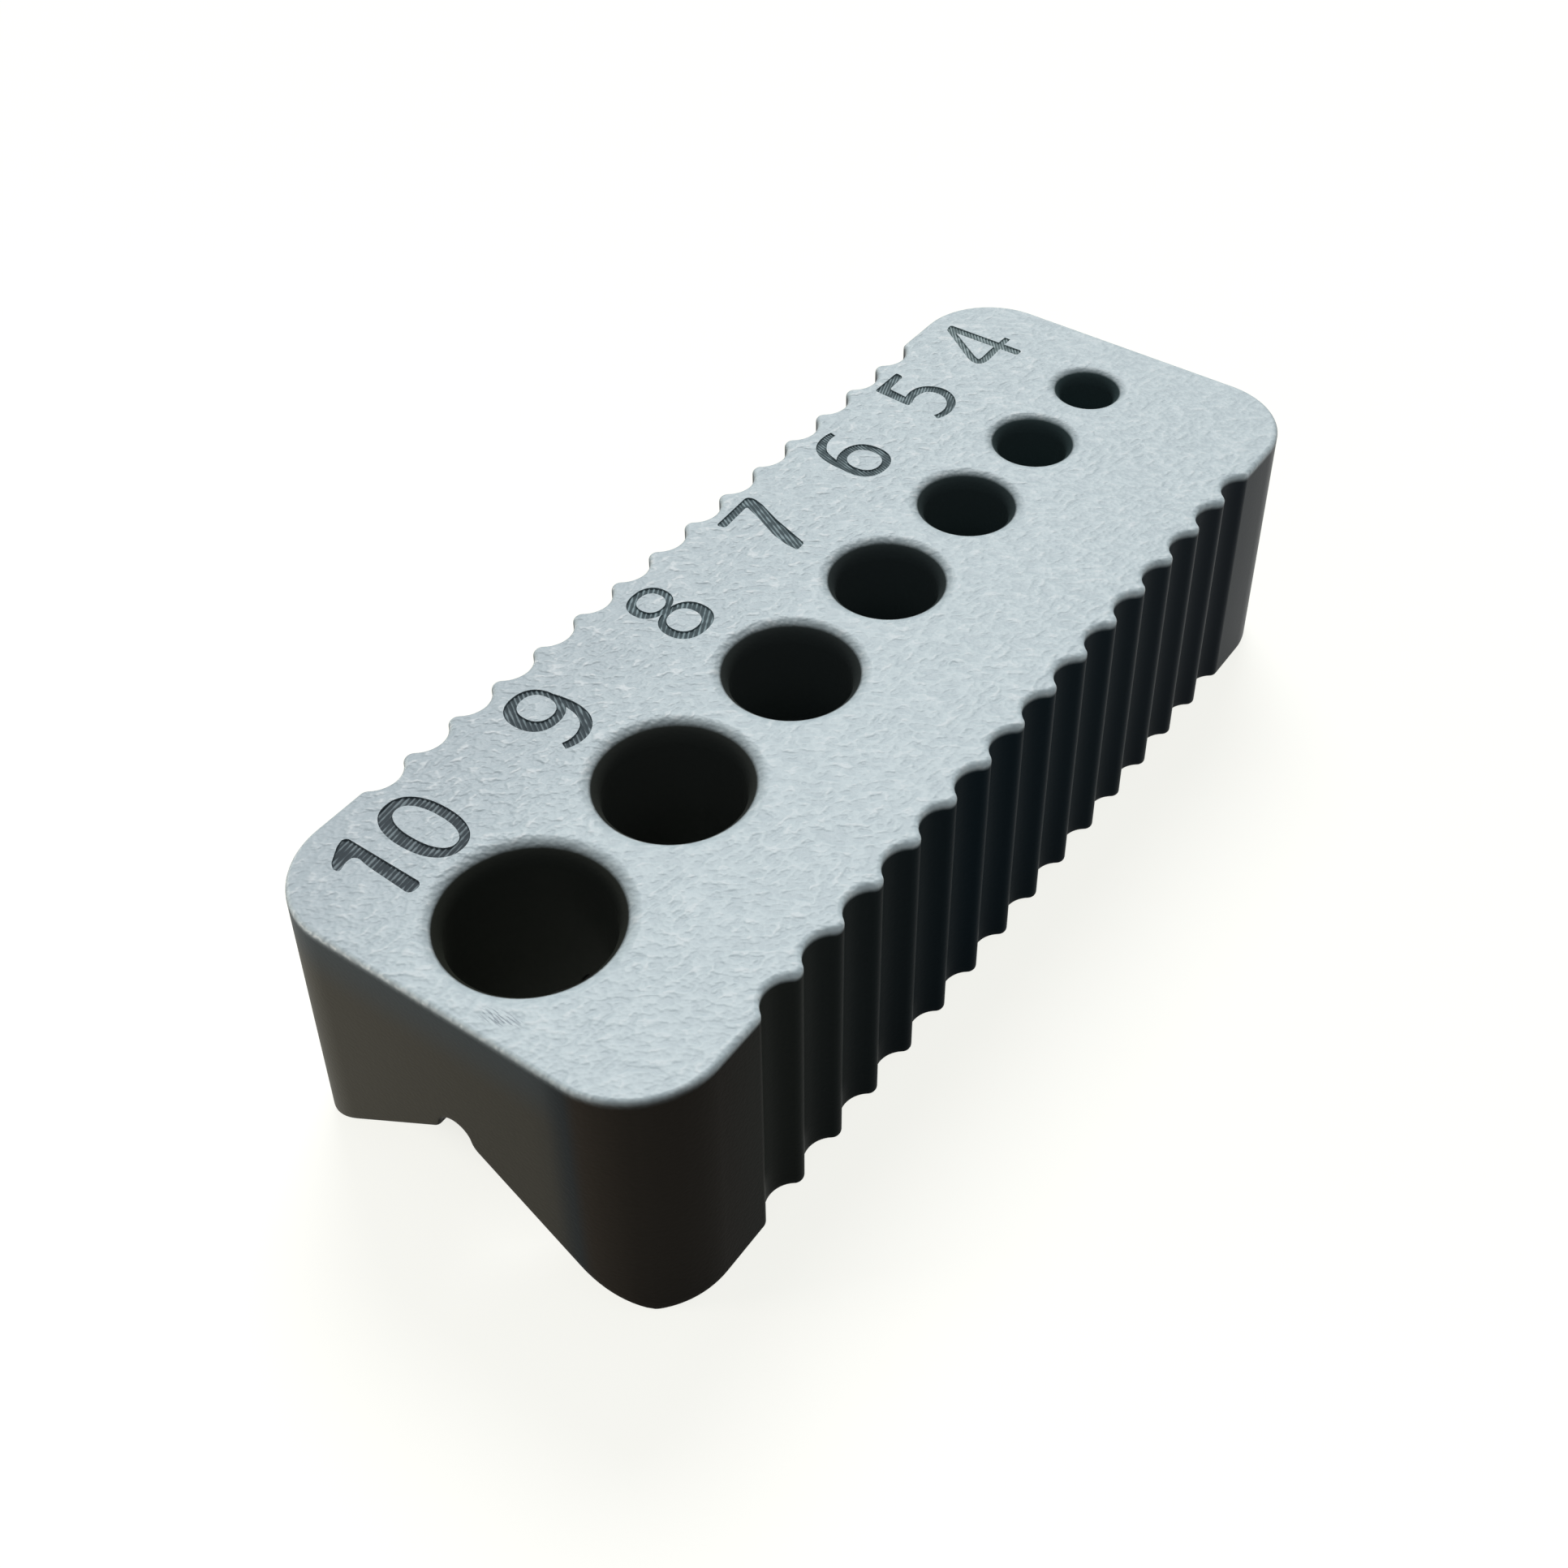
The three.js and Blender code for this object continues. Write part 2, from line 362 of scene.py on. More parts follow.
# %% Curves and bands
def curve(*points, steps=14):
    """A chain of cubic curves from a to d, where b and c pull: with t from 0 to 1 and s = 1 - t, a
    point is s^3 a + 3 t s^2 b + 3 t^2 s c + t^3 d."""
    points = np.array(points, float)
    t = np.linspace(0, 1, steps, endpoint=False)[:, None]
    chain = [(1 - t) ** 3 * a + 3 * t * (1 - t) ** 2 * b + 3 * t**2 * (1 - t) * c + t**3 * d
             for a, b, c, d in zip(points[:-1:3], points[1::3], points[2::3], points[3::3])]
    return np.vstack(chain + [points[-1:]])


def band(path, *widths):
    """The loop round a path. The widths are met at even steps along it, and change evenly between."""
    along = np.gradient(path, axis=0)
    along /= np.linalg.norm(along, axis=1, keepdims=True)
    here = np.linspace(0, 1, len(path))
    half = np.interp(here, np.linspace(0, 1, len(widths)), widths)[:, None] / 2
    left = np.column_stack([-along[:, 1], along[:, 0]]) * half
    return [np.vstack([path - left, (path + left)[::-1]])]


print("a straight band has", len(band(curve((0, 0), (1, 0), (2, 0), (3, 0)), 1.0, 0.5)[0]), "points")

# %% [markdown]
# Now the seven figures themselves, in millimetres from the middle of each figure's foot. They are
# 6.1 to 6.6 mm tall, and all stand on one line beside the bores.

# %% The figures
FIGURES = {
    10: [plate((-2.66, -0.05), (-1.6, -0.05), (-1.52, 6.25), (-2.2, 6.2), (-3.7, 5.3), (-3.85, 4.6),
               (-3.4, 4.6), (-2.85, 4.85), (-2.25, 4.6), (-2.45, 3.6), cut=0.25),
         ring((1.75, 3.02), (1.96, 3.12), (1.83, 2.93), (1.12, 2.42))],
    9: [ring((-0.14, 4.25), (1.86, 1.94), (0.1, 4.3), (1.15, 1.25)),
        band(curve((1.5, 4.2), (1.6, 3.4), (1.7, 2.2), (1.25, 1.35), (0.8, 0.45), (-0.4, 0.05),
                   (-1.55, 0.65)), 0.5, 0.68, 0.78, 0.8, 0.6)],
    8: [ring((-0.04, 4.84), (1.65, 1.44), (0.02, 4.78), (0.98, 0.94)),
        ring((-0.02, 1.77), (1.92, 1.72), (-0.08, 1.9), (1.14, 1.12))],
    7: [plate((-2.05, 6.3), (1.8, 6.5), (2.02, 6.0), (1.8, 5.1), (0.95, 3.2), (-0.1, 0.05), (-1.0, 0.0),
              (-0.95, 1.0), (-0.6, 2.35), (0.35, 4.35), (0.92, 5.8), (-1.9, 5.6))],
    6: [ring((0.03, 2.1), (1.92, 1.95), (0.1, 2.08), (1.16, 1.28)),
        band(curve((-1.55, 2.3), (-1.55, 3.5), (-1.35, 4.5), (-0.95, 5.1), (-0.5, 5.75), (0.5, 6.05),
                   (1.45, 5.8)), 0.55, 0.74, 0.78, 0.5)],
    5: [plate((-1.55, 3.2), (-0.8, 3.3), (-0.6, 4.6), (-0.5, 5.6), (1.5, 5.7), (1.65, 6.4), (-1.35, 6.42)),
        band(curve((-1.2, 3.5), (-0.6, 3.8), (0.1, 3.85), (0.6, 3.65), (1.3, 3.4), (1.6, 2.6), (1.5, 2.0),
                   (1.2, 0.5), (-0.5, 0.1), (-1.6, 0.75)), 0.65, 0.8, 0.8, 0.5)],
    4: [band(curve((1.0, 6.35), (0.15, 5.1), (-0.75, 3.85), (-1.35, 2.95), (-1.95, 2.05), (-1.7, 1.75),
                   (-0.7, 1.8), (0.4, 1.85), (1.4, 1.85), (2.5, 1.85)), 0.5, 0.6, 0.66, 0.62, 0.5),
        plate((0.85, 0.0), (1.6, 0.0), (1.55, 6.6), (0.8, 6.5))],
}
FIGURE_FOOT = 6.8


def figure_loops(size, centre):
    """The figure's strokes, moved to stand beside its bore: a list of strokes, each a list of loops."""
    return [[loop + (centre, FIGURE_FOOT) for loop in stroke] for stroke in FIGURES[size]]


figures = [figure_loops(size, centre) for size, centre in zip(DRILL_SIZES, bore_centres)]
counts = [sum(len(loop) for loop in sum(strokes, [])) for strokes in figures]
print("figures of", counts, "points")

# %% [markdown]
# How deep a point of the top lies follows from how far inside a figure it is, so the first thing to
# work out is the distance to the figure's edge. Whether the point is inside is told by drawing a
# line to the right of it: it crosses the edge an odd number of times from inside, and an even number
# of times from outside. All points and all edges are compared at once, as one large table.

# %% The distance from a figure's edge
def distance_inside(points, loops):
    """Distance from each point to the nearest stretch of the loops: positive where a line to the right
    of the point crosses them an odd number of times, which is inside, and negative elsewhere."""
    start = np.vstack(loops)
    along = np.vstack([np.roll(loop, -1, axis=0) for loop in loops]) - start
    away = points[:, None] - start
    share = np.clip((away * along).sum(axis=2) / (along**2).sum(axis=1), 0, 1)
    distance = np.linalg.norm(away - share[:, :, None] * along, axis=2).min(axis=1)
    low_first = away[:, :, 1] >= 0
    low_last = away[:, :, 1] >= along[:, 1]
    level = np.where(along[:, 1] == 0, 1, along[:, 1])
    right = away[:, :, 0] < along[:, 0] * away[:, :, 1] / level
    crossings = ((low_first != low_last) & right).sum(axis=1)
    return np.where(crossings % 2 == 1, distance, -distance)


def in_chunks(points, loops, size=1500):
    """distance_inside for many points, a few at a time so that the tables stay small."""
    parts = np.array_split(points, len(points) // size + 1)
    return np.concatenate([distance_inside(part, loops) for part in parts])


half_way = np.array([[bore_centres[3], FIGURE_FOOT + 3.0]])
print("a spot half way up the 7 lies", distance_inside(half_way, figures[3][0]).round(2), "mm inside")

# %% [markdown]
# A laser cut these figures. Their walls are steep, and the floor keeps the ribs that the beam leaves
# as it sweeps to and fro, at a different slant in each figure. The ribs are real relief here, because
# they are wide enough to catch the light one by one.

# %% The depth of the engraving
CUT_DEPTH = 0.14
CUT_WALL = 0.05
RIB_HEIGHT = 0.05
SWEEPS = {10: (6, 0.32), 9: (57, 0.3), 8: (27, 0.32), 7: (62, 0.28), 6: (75, 0.22), 5: (20, 0.22),
          4: (40, 0.22)}  # degrees and pitch


def rib_wave(points, size):
    """0 in the grooves of the sweep and 1 on the ribs between them, in straight slopes."""
    angle, pitch = math.radians(SWEEPS[size][0]), SWEEPS[size][1]
    across = (points @ (-math.sin(angle), math.cos(angle))) / pitch
    return 1 - np.abs(2 * (across % 1) - 1)


def engraving(points):
    """Depth, inwards distance and rib height of each point. The depth grows evenly over CUT_WALL to
    CUT_DEPTH less the rib. Where strokes overlap, the larger distance counts, so that they read as one
    figure."""
    inward = np.full(len(points), -1.0)
    ribs = np.zeros(len(points))
    for size, strokes in zip(DRILL_SIZES, figures):
        low = np.vstack(sum(strokes, [])).min(axis=0)
        high = np.vstack(sum(strokes, [])).max(axis=0)
        near = np.all((points > low) & (points < high), axis=1)
        if near.any():
            inward[near] = np.max([distance_inside(points[near], stroke) for stroke in strokes], axis=0)
            ribs[near] = rib_wave(points[near], size)
    share = np.clip(inward / CUT_WALL, 0, 1)
    return share * (CUT_DEPTH - RIB_HEIGHT * ribs), inward, ribs * share


print("cut", engraving(half_way)[0].round(3), "mm deep half way up the 7")

# %% [markdown]
# The flat faces have holes and figures in them, so no simple grid fits. Blender can triangulate a
# plan in which given lines must appear as edges. The lines here are the drawn-in outline, the bore
# mouths, the figures' edges with the foot of their walls, and the ribs of the sweep. First come the
# lines that aren't there yet: a loop moved inwards, and the straight lines of a sweep.

# %% Lines for the plan
SHARPEST = 0.4  # keeps a sharp corner from running far ahead of its edges
LEAST_LINE = 0.05


def drawn_in(loop, distance):
    """The loop moved to its left by distance: each vertex goes along the sum of its two edges' left
    directions, scaled so that both edges move by the same distance."""
    along = np.roll(loop, -1, axis=0) - loop
    along /= np.linalg.norm(along, axis=1, keepdims=True)
    left = np.column_stack([-along[:, 1], along[:, 0]])
    before = np.roll(left, 1, axis=0)
    scale = 1 + (left * before).sum(axis=1, keepdims=True)
    return loop + distance * (left + before) / np.clip(scale, SHARPEST, None)


def sweep_lines(size, strokes):
    """The lines of the sweep, two to a pitch, as pairs of ends cut off at the figure's box."""
    corners = np.vstack(sum(strokes, []))
    low, high = corners.min(axis=0), corners.max(axis=0)
    angle, pitch = math.radians(SWEEPS[size][0]), SWEEPS[size][1]
    along = np.array([math.cos(angle), math.sin(angle)])
    across = np.array([-along[1], along[0]])
    box = np.array([low, (high[0], low[1]), high, (low[0], high[1])]) @ across / (pitch / 2)
    offsets = np.arange(math.ceil(box.min()), math.floor(box.max()) + 1) * pitch / 2
    first = (low - offsets[:, None] * across) / along
    last = (high - offsets[:, None] * across) / along
    enter = np.minimum(first, last).max(axis=1)
    leave = np.maximum(first, last).min(axis=1)
    kept = leave - enter > LEAST_LINE
    middle = offsets[kept, None] * across
    starts, ends = (middle + reached[kept, None] * along for reached in (enter, leave))
    return list(np.stack([starts, ends], axis=1))


print("the sweep of the first figure has", len(sweep_lines(10, figures[0])), "lines")

# %% [markdown]
# The triangulation covers everything between the lines, the bores too. So the triangles whose middle
# falls outside the outline or inside a bore are dropped afterwards, by the same count of crossings
# that told inside from outside in the figures.

# %% Triangulate a plan round given lines
SAME_POINT = 1e-6
LEAST_AREA = 1e-9


def triangulate(borders, lines):
    """Vertices and triangles, turned anticlockwise, of the plan inside the border loops. Each loop
    closes on itself, and each line is open."""
    points, edges = [], []
    for loop in borders:
        first = len(points)
        edges += [(first + i, first + (i + 1) % len(loop)) for i in range(len(loop))]
        points += [tuple(p) for p in loop]
    for line in lines:
        first = len(points)
        edges += [(first + i, first + i + 1) for i in range(len(line) - 1)]
        points += [tuple(p) for p in line]
    found, _, faces, *_ = delaunay_2d_cdt([Vector(p) for p in points], edges, [], 0, SAME_POINT)
    found, faces = np.array(found), np.array(faces)
    a, b, c = found[faces].transpose(1, 0, 2)
    turn = (b - a)[:, 0] * (c - a)[:, 1] - (b - a)[:, 1] * (c - a)[:, 0]
    faces[turn < 0] = faces[turn < 0][:, ::-1]
    faces = faces[np.abs(turn) > LEAST_AREA]
    inside = in_chunks(found[faces].mean(axis=1), borders) > 0
    return found, faces[inside]


print("a plan with four corners becomes", len(triangulate([oval((0, 0), (1, 1), 4)], [])[1]), "triangles")

# %% [markdown]
# Now the stretches of the surface are made one by one and kept in a list: the top, the underside, the
# walls of the bores and the outer wall. Besides its vertices and faces, each stretch brings four
# numbers per vertex that the finishes read later:
#
# - pale: how much of the pale top finish is there;
# - rib: how high the rib of the laser's sweep stands;
# - end: how far the spot belongs to a flat end of the block;
# - deep: how far down a bore it lies, which is 1 where the rounded mouth meets the wall and grows by 1
#   with each radius of the bore.

# %% Keep a stretch
NUMBERS = ("pale", "rib", "end", "deep")
stretches = []


def keep_stretch(points, faces, engraved=False, **numbers):
    """Adds one stretch: points in millimetres, faces facing outwards, for each face whether it is
    engraved, and the named numbers per vertex, which are 0 where they aren't given."""
    flat = np.reshape(points, (-1, 3))
    table = np.zeros((len(flat), len(NUMBERS)))
    for name, values in numbers.items():
        table[:, NUMBERS.index(name)] = values
    stretches.append((flat, np.asarray(faces), np.zeros(len(faces), bool) | engraved, table))


print("numbers per vertex:", NUMBERS)

# %% [markdown]
# The top is a plan with the outline, the mouths and the figures as its lines. Each figure's edge is
# given twice, once where the wall starts and once just past its foot, so that the wall between them
# is steep and even. The finish of the cut differs from the metal round it, so the faces whose middle
# lies inside a figure are marked.

# %% The top
PAST_THE_WALL = 1.1

top_borders = [outline(EDGE_ROUND)] + [bore_rings(x, r)[0, :, :2] for x, r in zip(bore_centres, bore_radii)]
top_lines = []
for size, strokes in zip(DRILL_SIZES, figures):
    for loop in sum(strokes, []):
        for inset in (0, CUT_WALL * PAST_THE_WALL):
            shape = drawn_in(loop, inset)
            top_lines.append(np.vstack([shape, shape[:1]]))
    top_lines += sweep_lines(size, strokes)
top_plan, top_faces = triangulate(top_borders, top_lines)
depth, _, ribs = engraving(top_plan)
engraved = engraving(top_plan[top_faces].mean(axis=1))[1] > 0
keep_stretch(np.column_stack([top_plan, TOP - depth]), top_faces, engraved, pale=1.0, rib=ribs)
print("top:", len(top_faces), "triangles, deepest", round(depth.max(), 3), "mm")

# %% [markdown]
# The underside is a plan too, lifted to the height that was worked out for the groove. The creases
# run through it from one end of the outline to the other, and stop sooner where a corner rounds the
# outline off. The plan is seen from above and the face looks down, so its triangles are turned round.

# %% The underside
lower_loops = [bore_rings(x, r)[-1, :, :2] for x, r in zip(bore_centres, bore_radii)]
into_corner = np.clip(np.abs(crease_lines) - (WIDTH / 2 - CORNER_RADIUS), 0, None)
corner_reach = np.sqrt((CORNER_RADIUS - EDGE_ROUND) ** 2 - into_corner**2)
line_ends = LENGTH / 2 - CORNER_RADIUS + corner_reach
under_lines = [np.array([(-x, y), (x, y)]) for x, y in zip(line_ends, crease_lines)]
under_plan, under_faces = triangulate([outline(EDGE_ROUND)] + lower_loops, under_lines)
keep_stretch(np.column_stack([under_plan, underside(under_plan[:, 1])]), under_faces[:, ::-1])
print("underside:", len(under_faces), "triangles")

# %% [markdown]
# A wall is a grid: rings carried from the top down, joined by four-sided faces, and closed on itself
# all the way round. Only two things change from wall to wall: whether its faces look outwards or into
# a bore, and how the finish fades from ring to ring. A fade that starts and ends gently leaves no
# line on the metal, so it follows a curve that is level at both ends.

# %% Rings into walls
def smooth_step(x, low, high):
    """0 below low, 1 above high, and 3 t squared less 2 t cubed between them."""
    t = np.clip((x - low) / (high - low), 0, 1)
    return t * t * (3 - 2 * t)


def ring_faces(rings, points, facing_in=False):
    """Four-sided faces between neighbouring rings, closed round; facing_in turns them round."""
    upper = np.arange(rings - 1)[:, None] * points + np.arange(points)
    after = np.arange(rings - 1)[:, None] * points + (np.arange(points) + 1) % points
    quads = np.stack([upper, upper + points, after + points, after], axis=2).reshape(-1, 4)
    return quads[:, ::-1] if facing_in else quads


print("two rings of four points are joined by", ring_faces(2, 4).tolist())

# %% [markdown]
# Over the rounding of each mouth the pale finish thins out, as painted shade, and past a limit it is
# gone and the black of the bore begins. It thins most on the side towards the narrow end and the back,
# whose rounding turns away from the main light. The share that is left is given for a few slopes of
# the rounding, in degrees from the flat top.

# %% The walls of the bores
# how much of the pale finish is left over the rounding; its thinning is painted shade
MOUTH_FADE_AND_SHADE = {0: 1.0, 8: 0.74, 20: 0.56, 30: 0.42}
MOUTH_LIMIT = (31, 42)
# the side whose rounding turns away from the main light, thinned more as painted shade
SHADED_SIDE = math.radians(34)
SHADE_SWING = 0.4

for x, r in zip(bore_centres, bore_radii):
    rings = bore_rings(x, r)
    tilt = np.pad(MOUTH_TURNS, (0, len(rings) - len(MOUTH_TURNS)), constant_values=90)
    thinned = 1 - np.interp(tilt, list(MOUTH_FADE_AND_SHADE), list(MOUTH_FADE_AND_SHADE.values()))[:, None]
    # painted shade: more thinning on the side away from the main light
    far_side_shade = 1 - SHADE_SWING + SHADE_SWING * np.cos(bore_angles(r) - SHADED_SIDE)
    left = (1 - thinned * far_side_shade) * (1 - smooth_step(tilt, *MOUTH_LIMIT))[:, None]
    down = np.clip(TOP - mouth_round(r) - rings[:, :, 2], 0, None) / r
    deep = tilt[:, None] / 90 + down
    keep_stretch(rings, ring_faces(*rings.shape[:2], facing_in=True), pale=left.ravel(), deep=deep.ravel())
print("bore walls:", [len(stretch[1]) for stretch in stretches[2:]], "faces")

# %% [markdown]
# Over the outer edge the pale finish fades too, counted in millimetres of the way over the rounding.
# On the front more than half of it is left at the foot of the rounding, and the rest goes just below.
# On the ends and along the back it goes earlier. At the wide end, whose rounding turns away from the
# main light, that earlier fade is painted shade. Two rings close to the rounded edges keep the tall
# faces between them perfectly flat in the shading. The number that tells the flat ends from the
# fluted sides is set here as well. It rises where the front corner runs out, and falls in the back one.

# %% The outer wall
EDGE_STEPS = 7
GUARD = 0.4
SIDE_FADE = (0.1, 1.15)
# at the wide end the earlier fade is painted shade on the rounding
END_FADE_AND_SHADE = (-0.18, 0.84)
EARLY_FROM_X = (33, 37)
EARLY_FROM_Y = (0, 5)
END_RISES = (-10.5, -6.2)
END_FALLS = (11, 15)

plain = outline()
towards_end = smooth_step(plain[:, 1], *END_RISES) * (1 - smooth_step(plain[:, 1], *END_FALLS))
near_ends = smooth_step(np.abs(plain[:, 0]), *EARLY_FROM_X)
early = np.maximum(near_ends, smooth_step(plain[:, 1], *EARLY_FROM_Y))
fade_from, fade_to = (side + early * (end - side) for side, end in zip(SIDE_FADE, END_FADE_AND_SHADE))
outer_rings, outer_pale = [], []
for over in np.linspace(0, math.pi / 2, EDGE_STEPS):
    loop = outline(EDGE_ROUND * (1 - math.sin(over)))
    height = TOP - EDGE_ROUND * (1 - math.cos(over))
    outer_rings.append(np.column_stack([loop, np.full(len(loop), height)]))
    outer_pale.append(1 - smooth_step(EDGE_ROUND * over, fade_from, fade_to))
outer_rings.append(np.column_stack([plain, np.full(len(plain), TOP - EDGE_ROUND - GUARD)]))
outer_rings.append(np.column_stack([plain, underside(plain[:, 1]) + EDGE_ROUND + GUARD]))
for under in np.linspace(0, math.pi / 2, EDGE_STEPS):
    loop = outline(EDGE_ROUND * (1 - math.cos(under)))
    height = underside(loop[:, 1]) + EDGE_ROUND * (1 - math.sin(under))
    outer_rings.append(np.column_stack([loop, height]))
outer_rings = np.array(outer_rings)
outer_pale = np.pad(outer_pale, ((0, len(outer_rings) - len(outer_pale)), (0, 0)))
keep_stretch(outer_rings, ring_faces(*outer_rings.shape[:2]), pale=outer_pale.ravel(),
             end=np.tile(towards_end, len(outer_rings)))
print("outer wall:", len(stretches[-1][1]), "faces")

# %% [markdown]
# Joining the stretches makes one closed body. Their border points were computed from the same
# formulas, so points that lie within a thousandth of a millimetre are one and the same, and after
# that every edge must belong to exactly two faces. The count printed below shows it.

# %% Join the stretches into one closed mesh
WELD = 0.001
OFF_THE_LIMITS = 0.37


def join_stretches():
    """Vertices, faces, the mark per face and the numbers per vertex. Points that fall in the same cell
    of WELD millimetres are made one, and a face that loses a corner by it is left out. The cells are
    moved by an odd share, OFF_THE_LIMITS, so that round numbers don't fall on the limit between two."""
    points = np.vstack([stretch[0] for stretch in stretches])
    cells = np.floor(points / WELD + OFF_THE_LIMITS).astype(np.int64)
    _, first, place = np.unique(cells, axis=0, return_index=True, return_inverse=True)
    faces, engraved, start = [], [], 0
    for flat, corners, marks, _ in stretches:
        corners = place.ravel()[corners + start]
        whole = np.all(corners != np.roll(corners, 1, axis=1), axis=1)
        faces += corners[whole].tolist()
        engraved += marks[whole].tolist()
        start += len(flat)
    return points[first], faces, engraved, np.vstack([stretch[3] for stretch in stretches])[first]


points, faces, engraved, table = join_stretches()
block_mesh = bpy.data.meshes.new("drill_guide_block")
block_mesh.from_pydata(points * MM, [], faces)
for name, values in zip(NUMBERS, table.astype(np.float32).T):
    block_mesh.attributes.new(name, "FLOAT", "POINT").data.foreach_set("value", values)
edge_of_corner = np.zeros(len(block_mesh.loops), int)
block_mesh.loops.foreach_get("edge_index", edge_of_corner)
uses = np.bincount(edge_of_corner, minlength=len(block_mesh.edges))
print(len(points), "points,", len(faces), "faces,", (uses != 2).sum(), "edges that don't have two faces")

# %% [markdown]
# Smooth shading joins the small faces of the arcs into one curve. Edges sharper than a limit stay
# crisp, such as those of the engraving. A modifier then lets large faces lead the shading at shared
# corners, so that the wide flat top isn't tinted by the narrow rounded edge beside it.

# %% The block as an object
SHARP_ABOVE = math.radians(33)

block = bpy.data.objects.new("drill_guide_block", block_mesh)
bpy.context.scene.collection.objects.link(block)
block_mesh.shade_smooth()
block_mesh.set_sharp_from_angle(angle=SHARP_ABOVE)
leading = block.modifiers.new("large_faces_lead", "WEIGHTED_NORMAL")
leading.keep_sharp = True
leading.weight = 100
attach(block, "root")
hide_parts("guide_block")
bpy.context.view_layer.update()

# %% [markdown]
# Finishes are built from shader nodes, and most of their sums are plain arithmetic. Wrapping a socket
# in a small class lets that arithmetic be written as Python: each operator adds one Math node. With a
# number on the left Python asks the wire on the right to work it out, which is what the second of
# each pair below is for.

# %% A wire that can be reckoned with
class Wire:
    """A shader socket on which + - * and ** work, also with a number on the left of the first three."""

    def __init__(self, finish, socket):
        self.finish = finish
        self.socket = socket

    def sum_of(self, operation, first, second):
        return self.finish.node("ShaderNodeMath", {"operation": operation}, {0: first, 1: second})

    def __add__(self, other):
        return self.sum_of("ADD", self, other)

    def __radd__(self, other):
        return self.sum_of("ADD", other, self)

    def __sub__(self, other):
        return self.sum_of("SUBTRACT", self, other)

    def __rsub__(self, other):
        return self.sum_of("SUBTRACT", other, self)

    def __mul__(self, other):
        return self.sum_of("MULTIPLY", self, other)

    def __rmul__(self, other):
        return self.sum_of("MULTIPLY", other, self)

    def __pow__(self, other):
        return self.sum_of("POWER", self, other)


print("a wire knows", [name for name in vars(Wire) if name.startswith("__r")], "and their plain forms")

# %% [markdown]
# Every other node comes from one method that takes its type, its settings and what goes into its
# sockets. The few kinds of node that come back again and again get a short name each on top of it:
# places and noise to make a pattern, steps, blends and ramps to turn it into tones, and the shader.
# All patterns are measured on the object itself, in millimetres, so they keep their true size.

# %% A finish to fill with nodes
FILM_INDEX = 1.15


class Finish:
    """A node tree to fill: a material's own, or the world's."""

    def __init__(self, owner):
        owner.use_nodes = True
        self.tree = owner.node_tree
        self.tree.nodes.clear()

    def node(self, kind, settings=None, sockets=None, out=0):
        """Adds a node, sets it up, fills its sockets with values or wires, and returns one output."""
        made = self.tree.nodes.new(kind)
        for name, value in (settings or {}).items():
            if name == "stops":
                self.set_stops(made.color_ramp.elements, value)
            else:
                setattr(made, name, value)
        for name, value in (sockets or {}).items():
            if isinstance(value, Wire):
                self.tree.links.new(value.socket, made.inputs[name])
            else:
                made.inputs[name].default_value = value
        return Wire(self, made.outputs[out]) if made.outputs else made

    def set_stops(self, marks, stops):
        """A new ramp has two marks, so the stops between the first and the last are added."""
        for place, _ in stops[1:-1]:
            marks.new(place)
        for mark, (place, tone) in zip(marks, stops):
            mark.position = place
            mark.color = tone

    def number(self, attribute):
        return self.node("ShaderNodeAttribute", {"attribute_name": attribute}, out="Fac")

    def place(self):
        return self.node("ShaderNodeTexCoord", out="Object")

    def distance(self, axis):
        """How far the spot lies along X, Y or Z from the middle of the block's foot, in millimetres."""
        return self.node("ShaderNodeSeparateXYZ", sockets={"Vector": self.place()}, out=axis) * (1 / MM)

    def patches(self, centre, size, turn=0.0):
        """Places counted in patches: centre and size in millimetres, turned about Z by turn degrees."""
        return self.node("ShaderNodeMapping", {"vector_type": "TEXTURE"}, {
            "Vector": self.place(), "Location": Vector(centre) * MM, "Rotation": (0, 0, math.radians(turn)),
            "Scale": Vector(size) * MM})

    def noise(self, size, stretch=1.0, turn=0.0, detail=2.0, shift=0.0):
        """Soft random values round 0.5. Their patches are about size millimetres across, and stretch
        times as long in the direction turn. Another shift gives values that look unrelated."""
        spots = self.patches((shift,) * 3, (size * stretch, size, size), turn)
        return self.node("ShaderNodeTexNoise", sockets={"Vector": spots, "Scale": 1.0, "Detail": detail})

    def step(self, wire, low, high, bottom=0.0, top=1.0):
        """A soft step: bottom below low, top above high."""
        return self.node("ShaderNodeMapRange", {"interpolation_type": "SMOOTHSTEP"}, {
            "Value": wire, "From Min": low, "From Max": high, "To Min": bottom, "To Max": top})

    def blend(self, share, first, second):
        """The first colour where share is 0 and the second where it is 1."""
        return self.node("ShaderNodeMix", {"data_type": "RGBA"}, {0: share, 6: first, 7: second}, out=2)

    def ramp(self, share, stops):
        """A colour that changes evenly between stops, which are pairs of a share and a colour."""
        return self.node("ShaderNodeValToRGB", {"stops": stops}, {0: share})

    def bump(self, height, distance):
        """A bump whose full height is distance, in millimetres."""
        return self.node("ShaderNodeBump", sockets={"Height": height, "Distance": distance * MM})

    def metal(self, skin, roughness, gloss, relief, film=0.0):
        """The standard shader. gloss is the level of its mirror part, which is 0.5 for most things, and
        film the share of a thin clear film that mirrors only what meets it at a slant."""
        return self.node("ShaderNodeBsdfPrincipled", sockets={
            "Base Color": skin, "Roughness": roughness, "Specular IOR Level": gloss, "Normal": relief,
            "Coat Weight": film, "Coat Roughness": roughness, "Coat IOR": FILM_INDEX})

    def surface(self, shader):
        self.node("ShaderNodeOutputMaterial", sockets={"Surface": shader})


print("a finish can make", [name for name in vars(Finish) if not name.startswith("__")])

# %% [markdown]
# A screen shows tones from 0 to 255 on a scale made for the eye, and a shader reckons with light. So
# colours are written as a screen shows them, where they can be compared with a picture, and turned
# into light by the standard curve. A run of tones along the block is written the same way, each after
# the share of the length at which it is met.

# %% Colours
NO_LIGHT = (0.0, 0.0, 0.0, 1.0)


